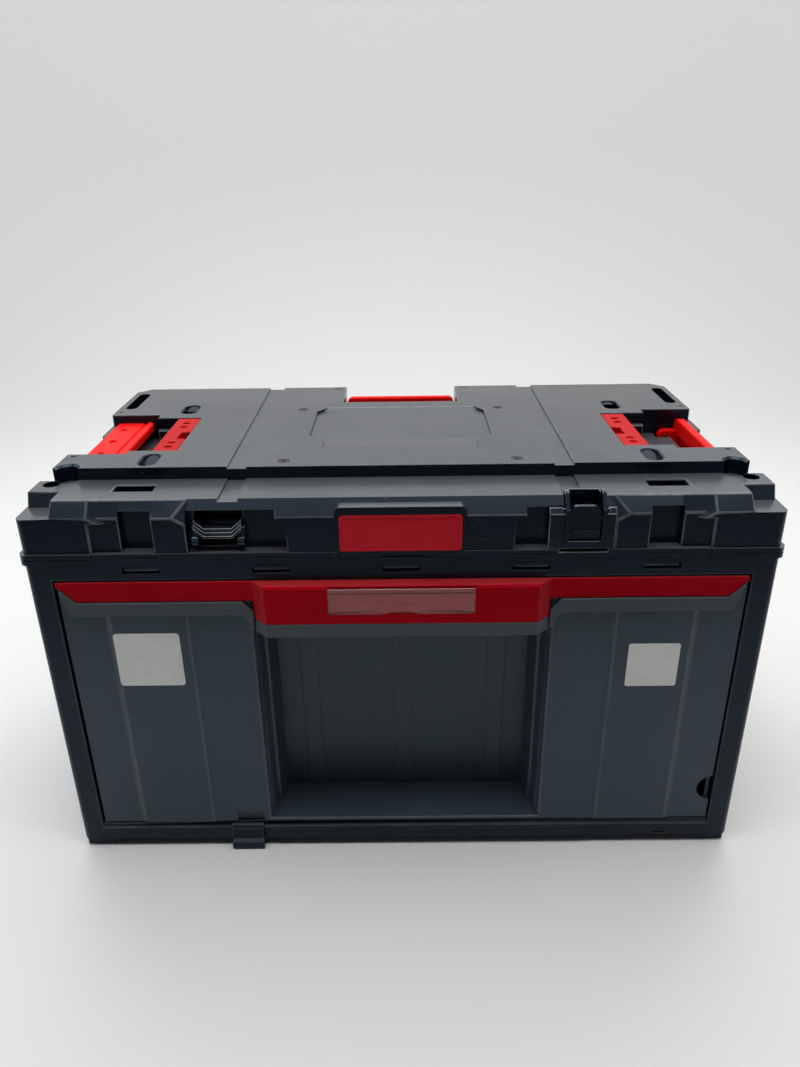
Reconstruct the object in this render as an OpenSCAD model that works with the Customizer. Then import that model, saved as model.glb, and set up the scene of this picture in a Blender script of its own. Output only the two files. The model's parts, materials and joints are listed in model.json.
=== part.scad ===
// Portable tool box with one full-width drawer and a stacking lid.
// Millimetres. X runs to the right, Y to the back, Z up.
// The origin is the middle of the footprint, on the floor that the feet stand on.
// Most places are given as a depth behind the front edge of the seam flange.

/* [Case] */
// Width over the seam flange
case_w = 585; // [540:1:660]
// Depth over the seam flange
case_d = 310; // [300:1:360]
// Overall height
case_h = 345; // [325:1:400]
// How far the seam flange stands out from the body
flange_out = 2.5; // [1.5:0.5:5]
// Setback of the body's front face behind the flange
face_set = 1.5; // [1:0.5:3]
// Wall thickness of the cabinet
wall = 3.2; // [2.6:0.1:4]
// Radius of the case's upright corners
corner_r = 6; // [3:1:10]

/* [Feet] */
// Height of the four feet
foot_h = 8.6; // [6:0.1:12]
// Width of a foot
foot_w = 25; // [18:1:32]
// Length of a foot, front to back
foot_l = 42; // [30:1:60]

/* [Drawer opening] */
// Width of the upright frame beside the drawer
stile_w = 19.7; // [19:0.1:26]
// Height of the frame above the drawer
top_rail_h = 18.4; // [17:0.1:26]
// Height of the frame below the drawer
bottom_rail_h = 16.9; // [14:0.1:24]
// Depth of the frame's inner return
return_d = 28; // [20:1:34]
// Gap round the drawer front
drawer_gap = 1.4; // [1:0.1:3]

/* [Lid] */
// Height of the lid above the cabinet's rim
lid_h = 54.6; // [53:0.1:62]
// Wall thickness of the lid
lid_wall = 3; // [2.4:0.1:3.6]
// Thickness of each of the two seam lips
lip_t = 4.4; // [3:0.1:6]
// Drop from the deck to the front shelf
shelf_drop = 10; // [8:0.5:12]
// Drop from the deck to the top of the front face
block_drop = 21.5; // [19:0.5:24]
// Depth of the front shelf's edge behind the flange
shelf_front = 12.6; // [10:0.1:16]
// Depth of the deck's front edge behind the flange
deck_front = 55.5; // [52:0.5:60]
// Distance of the deck's side edges inside the flange
deck_side_in = 15.5; // [13:0.5:18]
// Distance of the deck's rear edge inside the flange
deck_rear_in = 10; // [8:0.5:14]
// Width of a corner ledge outside the shelf
ledge_w = 28; // [24:1:32]
// Depth of a corner ledge behind the flange
ledge_d = 28; // [24:1:32]

/* [Front of the lid] */
// Inner edge of a wide recess, from the centre plane
recess_in = 86.5; // [80:0.5:92]
// Outer edge of a wide recess
recess_out = 162; // [158:0.5:164]
// Outer edge of the buttress beside it
buttress_out = 188; // [182:0.5:190]
// Outer edge of the narrow recess beyond the buttress
slot_out = 213; // [206:0.5:218]
// Outer edge of the set-back panel
panel_out = 235; // [228:0.5:240]
// Depth of the deep recesses
recess_d = 10; // [7:0.5:12]
// Depth of the set-back panel
panel_d = 3; // [2:0.5:4]
// Drop from the deck to the ceiling of the recesses
recess_ceiling = 17; // [15.5:0.5:18]
// Width of the badge frame
badge_w = 99; // [90:1:110]
// Height of the badge frame above the seam
badge_h = 37; // [33:1:40]

/* [Deck] */
// Length of a handle bay along its handle
bay_l = 114; // [104:1:122]
// Depth of a side handle bay, in from the deck's edge
side_bay_d = 47; // [44:1:52]
// Depth of the rear handle bay
rear_bay_d = 58; // [50:1:62]
// Middle of the side handle bays behind the flange
bay_mid = 147.5; // [144:0.5:160]
// Length of a locking slider
slider_l = 94; // [84:1:98]
// Width of a locking slider
slider_w = 21; // [18:1:24]
// Travel of a locking slider
slider_travel = 12; // [8:1:14]
// Distance of the deck screws from the centre plane
screw_x = 94.2; // [90:0.5:98]
// Depth of the front deck screws behind the flange
screw_front = 67.5; // [66:0.5:72]
// Depth of the rear deck screws behind the flange
screw_rear = 216; // [200:0.5:222]
// Inner edge of a shallow groove across the lid
groove_in = 123; // [120:0.5:126]
// Width of a shallow groove
groove_w = 15; // [10:1:18]
// Depth of a shallow groove
groove_t = 1.6; // [1:0.1:2]

/* [Handles] */
// Width of the grip plate
plate_w = 36; // [32:1:38]
// Thickness of the grip plate
plate_t = 7; // [6:0.5:8]
// Distance of the hinge axis inside the deck's edge
hinge_in = 24; // [23:0.5:26]
// Drop from the deck to the hinge axis
hinge_drop = 25; // [24:0.5:27]
// Diameter of a hinge pin
pin_d = 5; // [4:0.5:6]

/* [Drawer] */
// Width of the pull bay at the front face
pull_w = 239; // [200:1:280]
// Depth of the pull bay
pull_d = 49; // [40:1:56]
// How far the grip bar stands out in front of the flange
grip_proud = 9; // [6:0.5:14]
// Height of the grip bar in the middle
grip_h = 33.5; // [28:0.5:38]
// Height of the grip bar's wings
wing_h = 17.5; // [14:0.5:22]
// Height of the dark lip under the bar
trim_h = 11.5; // [9:0.5:14]
// Wall thickness of the drawer
tray_t = 2.6; // [2:0.1:3.4]
// Height of the drawer's sides
tray_h = 205; // [120:1:220]

/* [Runners] */
// Height of a runner
runner_h = 35; // [33:0.5:46]
// Thickness of a runner pair
runner_t = 12.7; // [12.7:0.1:14]
// Diameter of the bearing balls
ball_d = 3.2; // [2.8:0.1:3.2]
// Height of the runners' middle above the cabinet floor
runner_up = 108; // [60:1:150]

/* [Clearances] */
// Gap between parts that are fitted together
fit_gap = 0.3; // [0.2:0.05:0.5]
// Radial clearance of a hinge pin
pin_gap = 0.06; // [0.03:0.01:0.1]

/* [Hidden] */
$fn = 48;
eps = 0.5;

// Case
front_y = grip_proud - (case_d + grip_proud) / 2;
back = case_d;
body_half = case_w / 2 - flange_out;
rim_z = case_h - lid_h;
floor_z = foot_h;
floor_t = wall + 0.2;
deck_half = case_w / 2 - deck_side_in;
deck_rear = case_d - deck_rear_in;
shelf_z = case_h - shelf_drop;
block_z = case_h - block_drop;
block_front = face_set + 0.5;
shelf_half = case_w / 2 - ledge_w;
ceiling_z = case_h - recess_ceiling;
lip_z = rim_z + lip_t;
seam_gap = 0.1;
groove_seam = 0.8;
lip_step = 0.7;

// Sockets of the deck for a case stacked on top
socket_x = deck_half - 72.3;
socket_front = deck_front + 18.5;
socket_rear = deck_rear - 79;
rib_x = deck_half - 11.7;
rib_d = [deck_rear - 70, deck_rear - 24];
slot_x = [shelf_half - 72.5, shelf_half - 41.5];
slot_d = [ledge_d + 2, ledge_d + 14.5];
scoop_x = deck_half - 11;

// Drawer opening
open_half = body_half - stile_w;
open_low = floor_z + bottom_rail_h;
open_top = rim_z - top_rail_h;

// Snap joints along the seam
snap_pitch = 100;
snap_w = 29;
snap_h = 6.2;
snap_z = open_top + 5;
hook_back = face_set + wall + fit_gap + 2.6;

// Runners: each is laid out from the bracket (0) towards the drawer
runner_l = case_d - 70;
runner_face = open_half - 4.3;
tray_half = runner_face - runner_t;
runner_z = floor_z + runner_up;
runner_front = pull_d + 8;
steel = 1.1;
race_gap = ball_d + 0.1;
rail_gap = 0.5;
cage_t = 0.6;
cage_l = runner_l * 5 / 12;
cage_front = runner_front + (runner_l - cage_l) / 2 - 1;
ball_pitch = 12;
outer_lip = runner_h / 2 - steel;
middle_lip = outer_lip - race_gap;
inner_race = middle_lip - steel;
inner_lip = inner_race - race_gap;

// Drawer
front_face = 3.5;
front_half = open_half - drawer_gap;
front_low = open_low + drawer_gap;
front_top = open_top - drawer_gap;
front_back = pull_d + 5;
bay_top = front_top - 9;
tray_low = front_low + 1.5;
tray_front = front_back;
tray_back = runner_front + runner_l + 1;
wing_face = 0.8;
wing_low = front_top - wing_h;
grip_low = front_top - grip_h;
grip_half = pull_w / 2 - 3.5;
bump_half = grip_half - 10;
grip_t = 3;
bar_end = front_half - 0.4;
window_half = 57;
window_low = front_top - 25;
band_in = front_half - 102.9;
band_out = front_half - 33.9;
band_t = 1.6;
band_face = front_face - band_t;
label = [53, 49.5];
small_label = [41.5, 40.5];
tray_screws = [tray_low + tray_h * 0.2, tray_low + tray_h * 0.8];

// Handles and their bays
handle_l = bay_l - 2;
plate_drop = 8;
plate_out = hinge_in - plate_w / 2 - 1;
arm_w = 9;
bay_floor = hinge_drop - 1;
trough_in = hinge_in - 4.5;
trough_floor = hinge_drop + plate_w / 2 + 4;
hinge_bore_r = pin_d / 2 + pin_gap;
pin_l = 19;
boss_r = pin_d / 2 + 3.5;

// Sliders
slider_in = deck_half - 88;
slider_t = 10.5;
slider_floor = 11.5;
tongue = 2;

// Badge
badge_rim = 3.3;
plate_h = badge_h - 7.7;
plate_sink = 1.2;

// Latch
latch_x = recess_out - 23.5;
latch_half = 12.3;
latch_low = case_h - 43;
latch_deep = 22;
pivot_z = case_h - 29;
pivot_d = 9.5;
latch_pin_d = 3;
well_half = latch_half + 6;
well_deep = latch_deep + 4;

function yd(d) = front_y + d;

// ---- helpers ----

// A box from its ranges: across, behind the flange, and up
module block(x, d, z) {
    translate([x[0], yd(d[0]), z[0]])
        cube([x[1] - x[0], d[1] - d[0], z[1] - z[0]]);
}

// A flat shape of (x, z) points, stretched between two depths
module across(d0, d1) {
    translate([0, yd(d1), 0]) rotate([90, 0, 0]) linear_extrude(d1 - d0) children();
}

// A flat shape of (depth, z) points, stretched between two x
module along_x(x0, x1) {
    translate([x0, front_y, 0]) rotate([90, 0, 90]) linear_extrude(x1 - x0) children();
}

// A rectangle with round corners, from its lowest corner
module rounded(size, r) {
    translate([r, 0]) square([size[0] - 2 * r, size[1]]);
    translate([0, r]) square([size[0], size[1] - 2 * r]);
    for (x = [r, size[0] - r], y = [r, size[1] - r]) translate([x, y]) circle(r);
}

// A plate in plan with round corners, half width and depth range
module plan_plate(half, d, z, r) {
    translate([-half, yd(d[0]), z[0]])
        linear_extrude(z[1] - z[0]) rounded([2 * half, d[1] - d[0]], r);
}

module both() {
    children();
    mirror([1, 0, 0]) children();
}

module on_left() { mirror([1, 0, 0]) children(); }

// A flat obround that runs front to back, about its own middle
module pill(r, l) {
    square([2 * r, l - 2 * r], center = true);
    for (s = [-1, 1]) translate([0, s * (l / 2 - r)]) circle(r);
}

// Everything beyond a slanting plane: through (x, depth, z) p, facing along n, within a square of side w
module beyond(p, n, w) {
    translate([p[0], yd(p[1]), p[2]]) rotate([0, acos(n[2] / norm(n)), atan2(n[1], n[0])])
        translate([-w / 2, -w / 2, 0]) cube(w);
}

// ---- cabinet ----

module snap_rows() {
    for (i = [-2:2]) translate([i * snap_pitch, 0, 0]) children();
}

module cabinet_shell() {
    difference() {
        union() {
            plan_plate(body_half, [face_set, back - face_set], [floor_z, rim_z], corner_r);
            plan_plate(case_w / 2, [0, back], [rim_z - lip_t, rim_z - groove_seam], corner_r + 1);
            plan_plate(case_w / 2 - lip_step, [lip_step, back - lip_step],
                [rim_z - groove_seam - 0.1, rim_z], corner_r);
        }
        plan_plate(body_half - wall, [face_set + wall, back - face_set - wall],
            [floor_z + floor_t, rim_z + eps], corner_r - wall / 2);
        block([-open_half, open_half], [-eps, face_set + wall + eps], [open_low, open_top]);
    }
}

// The box-section frame that stiffens the drawer opening
module opening_frame() {
    d = [face_set + wall / 2, return_d];
    both() block([open_half, open_half + wall], d, [open_low - wall, open_top + wall]);
    block([-open_half, open_half], d, [open_top, open_top + wall]);
    block([-open_half, open_half], d, [open_low - wall, open_low]);
}

module foot(d0) {
    inset = 2;
    x0 = body_half - inset - foot_w;
    across(d0, d0 + foot_l)
        polygon([[x0 + 3, 0], [x0 + foot_w, 0], [x0 + foot_w, floor_z + 1], [x0 - 4, floor_z + 1]]);
}

// The seam flange stands back a little between the corner blocks and the badge frame
module front_lip_step(z) {
    both() block([badge_w / 2 + 2, panel_out + 1], [-1, lip_step], [z, lip_z + 0.1]);
}

// Shallow sunk fields between the ribs of the sides and the back
module wall_fields() {
    sink = 1.2;
    rib = 14;
    low = floor_z + 26;
    high = rim_z - 30;
    side_l = (case_d - 4 * rib - 30) / 3;
    for (i = [0:2]) {
        d0 = 22 + rib + i * (side_l + rib);
        both() block([body_half - sink, body_half + eps], [d0, d0 + side_l], [low, high]);
    }
    back_w = (2 * body_half - 6 * rib - 30) / 4;
    for (i = [0:3]) {
        x0 = -2 * back_w - 1.5 * rib + i * (back_w + rib);
        block([x0, x0 + back_w], [back - face_set - sink, back], [low, high]);
    }
}

module cabinet() {
    color([0.09, 0.10, 0.11]) difference() {
        union() {
            cabinet_shell();
            opening_frame();
            both() foot(face_set + 3);
            both() foot(back - face_set - 3 - foot_l);
            // long raised field of the lower rail
            across(face_set - 0.7, face_set + 1) polygon([
                [-117, floor_z], [161, floor_z], [165, open_low - 6], [-121, open_low - 6]]);
        }
        wall_fields();
        for (d = [0, back - wall - face_set - eps])
            snap_rows() across(d, d + face_set + wall + eps) translate([-snap_w / 2, snap_z])
                rounded([snap_w, snap_h], 2.5);
        // socket for the stacking hook in the lower rail
        block([hook_x[0], hook_x[1]], [-1, face_set + hook_seat], [floor_z - 1, open_low + 1]);
        front_lip_step(rim_z - lip_t - 1);
        // sloping upper edge of the lower rail
        along_x(-open_half, open_half) polygon([
            [face_set - 1, open_low - 3.6], [face_set, open_low - 3.6], [face_set + 2.8, open_low],
            [face_set + 2.8, open_low + 1], [face_set - 1, open_low + 1]]);
        // empty key slot at the right of the lower rail
        block([223.5, 235], [-1, face_set + 2.2], [floor_z + 1.6, floor_z + 3.6]);
    }
}

// ---- stacking hook in the lower rail ----

hook_x = [-155, -126];
hook_seat = 2.2;

module stack_hook() {
    color([0.13, 0.14, 0.15]) {
        x0 = hook_x[0] + fit_gap;
        x1 = hook_x[1] - fit_gap;
        along_x(x0, x1) polygon([
            [face_set + hook_seat - 0.1, floor_z + 0.5], [face_set + hook_seat - 0.1, open_low - 0.5],
            [0.4, open_low - 0.5], [-1, open_low - 4], [-1, floor_z + 2], [-4, floor_z],
            [-4, 1.5], [-2, 0.6], [1.5, 0.6], [1.5, floor_z - 0.2]]);
    }
}

// ---- lid ----

// Places a handle bay's own frame: X along the hinge, Y in from the deck's edge, Z up from the deck
module at_left() { translate([-deck_half, yd(bay_mid), case_h]) rotate([0, 0, -90]) children(); }
module at_right() { translate([deck_half, yd(bay_mid), case_h]) rotate([0, 0, 90]) children(); }
module at_rear() { translate([0, yd(deck_rear), case_h]) rotate([0, 0, 180]) children(); }

// The space of a handle bay, grown by a wall on every side that has one
module bay_space(depth, grow = 0) {
    out = 30;
    half = bay_l / 2;
    g = grow;
    translate([-half - g, -out, -bay_floor - g]) cube([bay_l + 2 * g, out + depth + g, bay_floor + g + 1]);
    translate([-half - g, -out, -trough_floor - g])
        cube([bay_l + 2 * g, out + trough_in + g, trough_floor + g]);
    for (s = [-1, 1]) translate([s * (half - (arm_w + 3) / 2), hinge_in, -hinge_drop])
        cube([arm_w + 3 + 2 * g, 18 + 2 * g, 18 + 2 * g], center = true);
}

module hinge_bosses(r, l) {
    for (s = [0, 180]) rotate([0, 0, s]) translate([bay_l / 2 - eps, s == 0 ? hinge_in : -hinge_in,
        -hinge_drop]) rotate([0, 90, 0]) cylinder(r = r, h = l + eps);
}

// Deeper well between a locking slider and its handle bay
module slider_well(grow = 0) {
    g = grow;
    half = slider_l / 2 - 3;
    block([slider_in + slider_w + slider_travel / 2 - g, deck_half - side_bay_d + eps],
        [bay_mid - 1.5 - half - g, bay_mid - 1.5 + half + g], [case_h - bay_floor - g, case_h + 1]);
}

module slider_space(grow = 0) {
    g = grow;
    half = slider_l / 2 + 0.8;
    x1 = deck_half - side_bay_d + eps;
    block([slider_in - 0.7 - g, x1], [bay_mid - 1.5 - half - g, bay_mid - 1.5 + half + g],
        [case_h - slider_floor - g, case_h + 1]);
    block([slider_in - 0.7 - g, x1],
        [bay_mid - 1.5 - half - tongue - g, bay_mid - 1.5 + half + tongue + g],
        [case_h - slider_floor - g, case_h - slider_floor + 4 + g]);
}

// Socket of the deck for a foot pin of the case stacked on top: deep in front, with a ramp behind
module deck_socket(x, d) {
    intersection() {
        translate([x, yd(d), case_h - 12]) linear_extrude(14) pill(7.2, 28);
        along_x(x - 9, x + 9) polygon([
            [d - 15, case_h - 9.5], [d + 1, case_h - 9.5], [d + 14, case_h - 1], [d + 15, case_h + 1],
            [d - 15, case_h + 1]]);
    }
    translate([x, yd(d), case_h - 0.7]) linear_extrude(2) pill(8.2, 30);
}

module lid_outer() {
    plan_plate(case_w / 2, [0, back], [rim_z + groove_seam, lip_z], corner_r + 1);
    plan_plate(case_w / 2 - lip_step, [lip_step, back - lip_step],
        [rim_z + seam_gap, rim_z + groove_seam + 0.1], corner_r);
    plan_plate(body_half, [block_front, back - block_front], [rim_z + seam_gap, block_z], corner_r);
    // front shelf with its sloping edge
    along_x(-shelf_half, shelf_half) polygon([
        [block_front, lip_z], [block_front, block_z], [shelf_front, shelf_z],
        [deck_front + 4, shelf_z], [deck_front + 4, lip_z]]);
    // sloping ends of the shelf
    both() across(shelf_front, deck_front) polygon([
        [shelf_half - 1, block_z - 1], [shelf_half + 3, block_z - 1], [shelf_half + 3, block_z],
        [shelf_half, shelf_z], [shelf_half - 1, shelf_z]]);
    // corner lugs
    both() along_x(shelf_half - 1, body_half - 1) polygon([
        [ledge_d - 2, block_z - 1], [ledge_d + 3, shelf_z], [deck_front - 1.5, shelf_z],
        [deck_front - 1.5, block_z - 1]]);
    // deck
    cut = 11;
    translate([0, front_y, block_z - 1]) linear_extrude(case_h - block_z + 1) polygon([
        [-deck_half, deck_front], [deck_half, deck_front], [deck_half, deck_rear - cut],
        [deck_half - cut, deck_rear], [-deck_half + cut, deck_rear], [-deck_half, deck_rear - cut]]);
    // rear bevel
    along_x(-deck_half + 6, deck_half - 6) polygon([
        [deck_rear - 1, block_z - 1], [deck_rear - 1, shelf_z], [deck_rear + 1, shelf_z],
        [back - block_front, block_z], [back - block_front, block_z - 1]]);
}

module lid_hollow() {
    t = lid_wall;
    front_band = block_front + recess_d + t;
    difference() {
        union() {
            plan_plate(body_half - t, [front_band, back - block_front - t],
                [rim_z - 1, block_z - t], 2);
            block([-shelf_half + t, shelf_half - t], [front_band + 4, deck_front + 4],
                [rim_z, shelf_z - t]);
            block([-deck_half + t, deck_half - t], [deck_front + t, deck_rear - t - 9],
                [rim_z, case_h - t]);
            // cells behind the raised blocks of the front
            for (x = [[-recess_in + t, -badge_w / 2 + t], [badge_w / 2 - t, recess_in - t]])
                block(x, [block_front + t, front_band + 1], [rim_z - 1, block_z - t]);
            both() block([panel_out + t, body_half - t - 2], [block_front + t, front_band + 1],
                [rim_z - 1, block_z - t]);
            block([-badge_w / 2 + t + 2, badge_w / 2 - t - 2], [block_front + t + 2, front_band + 1],
                [rim_z - 1, block_z - t]);
        }
        at_left() bay_space(side_bay_d, t);
        at_right() bay_space(side_bay_d, t);
        at_rear() bay_space(rear_bay_d, t);
        at_left() hinge_bosses(boss_r, pin_l - arm_w);
        at_right() hinge_bosses(boss_r, pin_l - arm_w);
        at_rear() hinge_bosses(boss_r, pin_l - arm_w);
        both() slider_space(t);
        both() slider_well(t);
        for (s = [-1, 1])
            block([s * latch_x - well_half - t, s * latch_x + well_half + t], [0, well_deep + t],
                [rim_z - 2, case_h]);
        both() for (d = [socket_front, socket_rear])
            block([socket_x - 10, socket_x + 10], [d - 17, d + 17], [case_h - 12, case_h]);
        both() block([rib_x - 9, deck_half], [rib_d[0] - 9, rib_d[1] + 9], [case_h - 18, case_h]);
        both() block([slot_x[0] - t, slot_x[1] + t], [slot_d[0] - t, slot_d[1] + t],
            [shelf_z - 15, shelf_z]);
        both() block([scoop_x - 12, deck_half], [deck_front - 10, deck_front + 13], [shelf_z - 7, case_h]);
    }
}

// The recesses and raised blocks of the front face
module front_recesses() {
    far = -5;
    panel = block_front + panel_d;
    both() {
        // narrow recess
        block([buttress_out, slot_out], [far, block_front + recess_d], [lip_z, ceiling_z]);
        // set-back panel, whose slope meets the shelf's edge
        intersection() {
            along_x(slot_out - 1, panel_out + 2) polygon([
                [far, lip_z], [panel, lip_z], [panel, block_z - 1], [shelf_front, shelf_z],
                [far, shelf_z]]);
            beyond([panel_out + 1, block_front, block_z], [-37, -69, 64], 90);
        }
        translate([0, front_y, lip_z]) linear_extrude(block_z - 5 - lip_z) polygon([
            [slot_out - 1, far], [panel_out + 1, far], [panel_out + 1, block_front],
            [panel_out - 1, panel], [slot_out - 1, panel]]);
        // wide recess, taller away from its inner edge
        block([recess_in, recess_out], [far, block_front + recess_d], [lip_z, block_z - 2]);
        block([recess_in + 8, recess_out], [far, block_front + recess_d], [lip_z, ceiling_z]);
        // slanted inner corner of the buttress
        intersection() {
            beyond([recess_out - 1, shelf_front, shelf_z], [-69, -198, 117], 40);
            block([recess_out - 1, recess_out + 13], [far, shelf_front + 1], [block_z - 12, shelf_z + 1]);
        }
    }
    front_lip_step(rim_z);
}

module badge_frame() {
    across(0, shelf_front + 1) translate([-badge_w / 2, lip_z - 1]) rounded([badge_w, badge_h + 1], 5);
}

// Sunk seat of the badge plate, grown by a gap
module badge_seat(gap = 0) {
    translate([-badge_w / 2 + badge_rim - gap, lip_z + 1.2 - gap])
        rounded([badge_w - 2 * badge_rim + 2 * gap, plate_h + 2 * gap], 2.6);
}

// What is along the front seam, and again along the back seam
module front_and_back() {
    children();
    rotate([0, 0, 180]) translate([0, -2 * front_y - case_d, 0]) children();
}

// Notches of the lid's lip above the snap joints
module lip_notches() {
    w = snap_w - 2;
    front_and_back() snap_rows() across(-1, lip_step + 1.1) polygon([
        [-w / 2 - 3, rim_z], [w / 2 + 3, rim_z], [w / 2 + 0.5, rim_z + 3], [-w / 2 - 0.5, rim_z + 3]]);
}

module snap_hooks() {
    w = snap_w - 2;
    front_and_back() snap_rows() {
        block([-w / 2, w / 2], [hook_back - 2.6, hook_back], [snap_z + 0.3, lip_z - 1]);
        block([-w / 2, w / 2], [hook_back - 4, hook_back], [rim_z + seam_gap, lip_z - 1]);
        along_x(-w / 2, w / 2) polygon([
            [hook_back - 1.6, snap_z + 0.3], [hook_back - 1.6, snap_z + 5.4],
            [face_set + 1, snap_z + 5.4], [face_set + 1, snap_z + 3]]);
    }
}

module lid() {
    color([0.09, 0.10, 0.11]) difference() {
        union() {
            difference() {
                lid_outer();
                lid_hollow();
                front_recesses();
            }
            badge_frame();
            snap_hooks();
        }
        lip_notches();
        at_left() bay_space(side_bay_d);
        at_right() bay_space(side_bay_d);
        at_rear() bay_space(rear_bay_d);
        at_left() hinge_bosses(hinge_bore_r, pin_l - arm_w - 2);
        at_right() hinge_bosses(hinge_bore_r, pin_l - arm_w - 2);
        at_rear() hinge_bosses(hinge_bore_r, pin_l - arm_w - 2);
        both() slider_space();
        both() slider_well();
        // wells behind the two latch places; only the right one opens through the shelf
        block([latch_x - well_half, latch_x + well_half], [-1, well_deep], [lip_z - 2, ceiling_z]);
        block([latch_x - latch_half - 3.4, latch_x + latch_half + 3.4], [-1, well_deep],
            [ceiling_z - 1, case_h]);
        block([-latch_x - well_half, -latch_x + well_half], [-1, well_deep], [lip_z + 2, ceiling_z]);
        both() {
            // shallow grooves over the deck and the shelf
            groove_x = [groove_in, groove_in + groove_w];
            block(groove_x, [deck_front - 1, back], [case_h - groove_t, case_h + 1]);
            block(groove_x, [-1, deck_front + 1], [shelf_z - groove_t, shelf_z + 1]);
            // sockets for a stacked case
            for (d = [socket_front, socket_rear]) deck_socket(socket_x, d);
            block(slot_x, slot_d, [shelf_z - 12, shelf_z + 1]);
            translate([rib_x, yd((rib_d[0] + rib_d[1]) / 2), case_h - 15]) linear_extrude(16)
                pill(5.5, rib_d[1] - rib_d[0] + 11);
            // round notches in the front corners
            translate([body_half - 14, yd(ledge_d + 18.5), block_z]) cylinder(r = 6.5, h = 30);
            translate([scoop_x, yd(deck_front + 1), shelf_z - 4]) cylinder(r = 8.5, h = 20);
            translate([scoop_x, yd(deck_front + 1), case_h - 1.8]) cylinder(r1 = 8.5, r2 = 11.3, h = 2.8);
            // small mould slots beside the handle pins
            for (d = [bay_mid - bay_l / 2 - 6, bay_mid + bay_l / 2 + 9.5])
                block([deck_half - 8.5, deck_half - 3.5], [d, d + 3], [case_h - 4, case_h + 1]);
            block([62, 70], [deck_rear - 6, deck_rear - 3], [case_h - 4, case_h + 1]);
            // deck screw holes
            for (d = [screw_front, screw_rear]) translate([screw_x, yd(d), 0]) {
                translate([0, 0, case_h - 10]) cylinder(d = 4.6, h = 12);
                translate([0, 0, case_h - 1.4]) cylinder(d = 9.6, h = 3);
            }
        }
        deck_recess();
        across(-1, plate_sink) badge_seat(fit_gap);
    }
}

// Shallow field in the middle of the deck, running out towards the front
module deck_recess() {
    deep = 2.2;
    d0 = deck_front + 36.5;
    d1 = deck_rear - 77;
    intersection() {
        translate([0, front_y, case_h - 8]) linear_extrude(10) polygon([
            [-66, d0], [66, d0], [66, d0 + 26], [80, d0 + 41], [80, d1 - 15], [70, d1], [-70, d1],
            [-80, d1 - 15], [-80, d0 + 41], [-66, d0 + 26]]);
        along_x(-90, 90) polygon([
            [d0, case_h], [d0 + 40, case_h - deep], [d1 - 8, case_h - deep], [d1, case_h + 0.2],
            [d1, case_h + 2], [d0, case_h + 2]]);
    }
}

module lid_floor() {
    half = body_half - lid_wall - fit_gap;
    d0 = block_front + recess_d + lid_wall + fit_gap;
    z0 = rim_z + seam_gap;
    t = 2.4;
    color([0.12, 0.13, 0.14]) difference() {
        union() {
            difference() {
                plan_plate(half, [d0, back - hook_back - fit_gap], [z0, z0 + t], 2);
                for (s = [-1, 1])
                    block([s * latch_x - well_half - 4, s * latch_x + well_half + 4], [0, well_deep + 4],
                        [z0 - 1, z0 + t + 1]);
            }
            both() for (d = [screw_front, screw_rear]) translate([screw_x, yd(d), z0])
                cylinder(d = 10, h = case_h - lid_wall - z0 - 0.1);
            // stiffening ribs
            for (d = [screw_front, screw_rear]) block([-screw_x, screw_x], [d - 1, d + 1], [z0, z0 + 14]);
        }
        both() for (d = [screw_front, screw_rear]) translate([screw_x, yd(d), case_h - 24])
            cylinder(d = 3.4, h = 30);
    }
}

module deck_screws() {
    color([0.55, 0.56, 0.58]) both() for (d = [screw_front, screw_rear])
        translate([screw_x, yd(d), case_h]) difference() {
            union() {
                translate([0, 0, -1.3]) cylinder(d = 8.6, h = 1.1);
                translate([0, 0, -20]) cylinder(d = 3.3, h = 19);
            }
            for (a = [45, 135]) rotate([0, 0, a]) translate([-2.4, -0.5, -0.9]) cube([4.8, 1, 2]);
        }
}

module badge_plate() {
    color([0.68, 0.03, 0.04]) difference() {
        across(-0.4, plate_sink - 0.05) badge_seat();
        across(-1, 0.1) badge_seat(-2);
    }
}

// ---- handles ----

module handle() {
    half = handle_l / 2;
    top = -plate_drop;
    low = top - plate_t;
    inner = plate_out + plate_w;
    difference() {
        union() {
            // grip plate with a groove and a raised lip along its inner edge
            intersection() {
                rotate([90, 0, 90]) translate([0, 0, -half]) linear_extrude(handle_l) difference() {
                    union() {
                        translate([plate_out, low]) rounded([plate_w - 4, plate_t], 2.6);
                        translate([inner - 7, low]) rounded([7, plate_t + 1.2], 2.2);
                    }
                    translate([inner - 8.6, top]) circle(1.6);
                }
                translate([-half, -20, low - 1]) linear_extrude(plate_t + 4)
                    rounded([handle_l, inner + 20], 7);
            }
            for (s = [-1, 1]) translate([s * (half - arm_w / 2), 0, 0]) {
                translate([-arm_w / 2, hinge_in, -hinge_drop]) rotate([0, 90, 0]) cylinder(r = 6, h = arm_w);
                translate([-arm_w / 2, hinge_in - 6, -hinge_drop])
                    cube([arm_w, 12, hinge_drop - plate_drop - plate_t + 2]);
            }
        }
        translate([-half - 1, hinge_in, -hinge_drop]) rotate([0, 90, 0])
            cylinder(r = hinge_bore_r, h = handle_l + 2);
        // three finger dimples in the plate
        for (x = [-1, 0, 1]) translate([x * handle_l * 0.3 - 3.5, plate_out + 10, top - 1.4])
            cube([7, 5, 3]);
        // hollow underside
        for (s = [-1, 1]) translate([s == 1 ? 2 : -half + arm_w + 3, plate_out + 3, low - 1])
            cube([half - arm_w - 5, plate_w - 17, plate_t - 2]);
    }
}

// Turns a handle outward about its hinge
module swing(a) {
    translate([0, hinge_in, -hinge_drop]) rotate([a, 0, 0]) translate([0, -hinge_in, hinge_drop]) children();
}

module left_handle() { color([0.85, 0.06, 0.05]) at_left() handle(); }
module right_handle() { color([0.85, 0.06, 0.05]) at_right() swing(90) handle(); }
module rear_handle() { color([0.85, 0.06, 0.05]) at_rear() swing(90) handle(); }

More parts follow.
